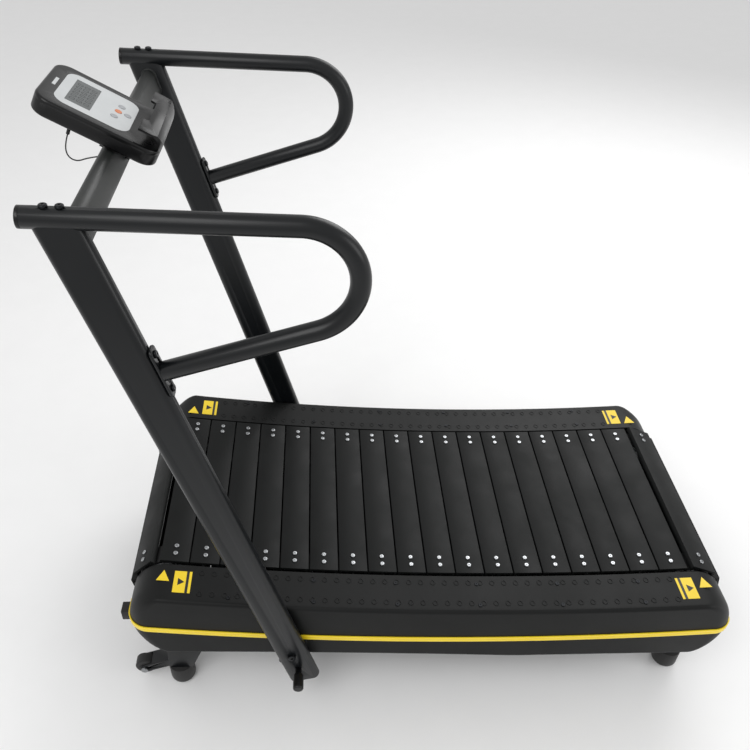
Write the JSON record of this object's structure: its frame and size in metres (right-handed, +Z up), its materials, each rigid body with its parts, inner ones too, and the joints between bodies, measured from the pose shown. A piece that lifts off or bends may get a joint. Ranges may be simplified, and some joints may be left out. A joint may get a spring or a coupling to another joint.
{
  "type": "curved manual treadmill",
  "caption": "Curved manual treadmill with a ribbed slat belt, side covers, a folding handrail frame, looped handrails, transport wheels and a display console.",
  "frame": {"origin": "on the floor, under the middle of the machine's length and width", "axes": "-X to the front, where the console is, +X to the rear, +Y to the user's right, +Z up"},
  "size_m": [1.4939, 0.9168, 1.4504],
  "materials": {
    "frame_paint": "satin black powder coat",
    "slat_coat": "black anodised",
    "belt_rubber": "matt",
    "steel": "machined steel",
    "screw_steel": "bright zinc plated",
    "foot_rubber": "matt",
    "cover_plastic": "fine moulded texture",
    "trim_yellow": "satin yellow",
    "black_plastic": "satin moulded",
    "wheel_rubber": "matt",
    "crossbar_paint": "satin grey powder coat",
    "face_silver": "light grey film",
    "display_glass": "liquid crystal window",
    "key_rubber": "soft",
    "key_orange": "soft",
    "cable_sheath": "vinyl"
  },
  "bodies": {
    "frame": {"side_rails": "frame_paint", "cross_tubes": "frame_paint", "roller_tracks": "frame_paint", "track_rollers": "steel", "bearing_blocks": "steel", "tension_bolts": "steel", "speed_sensor": "black_plastic", "foot_brackets": "frame_paint", "feet": "foot_rubber", "wheel_axles": "steel", "stand_pads": "foot_rubber", "cover_screws": "screw_steel", "cover_brackets": "frame_paint", "trim_strips": "trim_yellow", "upright_mounts": "frame_paint", "pivot_bolts": "screw_steel", "pivot_washers": "steel", "side_cover_left": "cover_plastic", "side_cover_right": "cover_plastic"},
    "belt_top": {"slats_top": "slat_coat", "slat_screws_top": "screw_steel", "belts_top": "belt_rubber"},
    "belt_bottom": {"slats_bottom": "slat_coat", "slat_screws_bottom": "screw_steel", "belts_bottom": "belt_rubber"},
    "front_drum": {"slats_front": "slat_coat", "slat_screws_front": "screw_steel", "belts_front": "belt_rubber", "pulleys_front": "steel", "axle_front": "steel"},
    "rear_drum": {"slats_rear": "slat_coat", "slat_screws_rear": "screw_steel", "belts_rear": "belt_rubber", "pulleys_rear": "steel", "axle_rear": "steel"},
    "wheel_left": {"transport_wheel_left": "wheel_rubber"},
    "wheel_right": {"transport_wheel_right": "wheel_rubber"},
    "handrail_frame": {"upright_left": "frame_paint", "upright_right": "frame_paint", "handrail_left": "frame_paint", "handrail_right": "frame_paint", "end_caps": "black_plastic", "crossbar": "crossbar_paint", "base_plates": "frame_paint", "handrail_bolts": "screw_steel", "console_shell": "black_plastic", "console_bezel": "black_plastic", "console_face": "face_silver", "console_display": "display_glass", "device_ledge": "black_plastic", "console_saddle": "frame_paint", "cable_relief": "black_plastic", "console_cable": "cable_sheath"},
    "key_left": {"key_left": "key_rubber"},
    "key_right": {"key_right": "key_rubber"},
    "key_start": {"key_start": "key_rubber"},
    "key_stop": {"key_stop": "key_orange"},
    "knob_left": {"pull_knob_left": "black_plastic"},
    "knob_right": {"pull_knob_right": "black_plastic"}
  },
  "joints": [
    {"name": "belt_top_travel", "type": "hinge", "parent": "frame", "child": "belt_top", "pos_m": [0.34, 0, 6.654], "axis": [0, 1, 0], "range_deg": [-0.16275, 0.16275]},
    {"name": "front_drum_turn", "type": "hinge", "parent": "frame", "child": "front_drum", "pos_m": [-0.622, 0, 0.3166], "axis": [0, 1, 0], "range_deg": [-14.14, 14.14]},
    {"name": "rear_drum_turn", "type": "hinge", "parent": "frame", "child": "rear_drum", "pos_m": [0.654, 0, 0.2517], "axis": [0, 1, 0], "range_deg": [-14.14, 14.14]},
    {"name": "belt_bottom_travel", "type": "slide", "parent": "frame", "child": "belt_bottom", "axis": [-0.9987, 0, 0.0508], "range_m": [-0.01801, 0.01801]},
    {"name": "wheel_left_spin", "type": "hinge", "parent": "frame", "child": "wheel_left", "pos_m": [-0.714, -0.303, 0.055], "axis": [0, 1, 0], "continuous": true},
    {"name": "wheel_right_spin", "type": "hinge", "parent": "frame", "child": "wheel_right", "pos_m": [-0.714, 0.303, 0.055], "axis": [0, 1, 0], "continuous": true},
    {"name": "handrail_frame_fold", "type": "hinge", "parent": "frame", "child": "handrail_frame", "pos_m": [-0.326, 0, 0.228], "axis": [0, 1, 0], "range_deg": [0, 85]},
    {"name": "key_left_press", "type": "slide", "parent": "handrail_frame", "child": "key_left", "axis": [-0.4894, 0, -0.8721], "range_m": [0, 0.0005], "stiffness_N_per_m": 1500},
    {"name": "key_right_press", "type": "slide", "parent": "handrail_frame", "child": "key_right", "axis": [-0.4894, 0, -0.8721], "range_m": [0, 0.0005], "stiffness_N_per_m": 1500},
    {"name": "key_start_press", "type": "slide", "parent": "handrail_frame", "child": "key_start", "axis": [-0.4894, 0, -0.8721], "range_m": [0, 0.0005], "stiffness_N_per_m": 1500},
    {"name": "key_stop_press", "type": "slide", "parent": "handrail_frame", "child": "key_stop", "axis": [-0.4894, 0, -0.8721], "range_m": [0, 0.0005], "stiffness_N_per_m": 1500},
    {"name": "knob_left_pull", "type": "slide", "parent": "handrail_frame", "child": "knob_left", "axis": [0, -1, 0], "range_m": [0, 0.01], "stiffness_N_per_m": 900},
    {"name": "knob_right_pull", "type": "slide", "parent": "handrail_frame", "child": "knob_right", "axis": [0, 1, 0], "range_m": [0, 0.01], "stiffness_N_per_m": 900}
  ],
  "couplings": [
    {"joint": "front_drum_turn", "follows": "belt_top_travel", "ratio": -86.808},
    {"joint": "rear_drum_turn", "follows": "belt_top_travel", "ratio": -86.808},
    {"joint": "belt_bottom_travel", "follows": "belt_top_travel", "m_per_rad": -6.337}
  ]
}
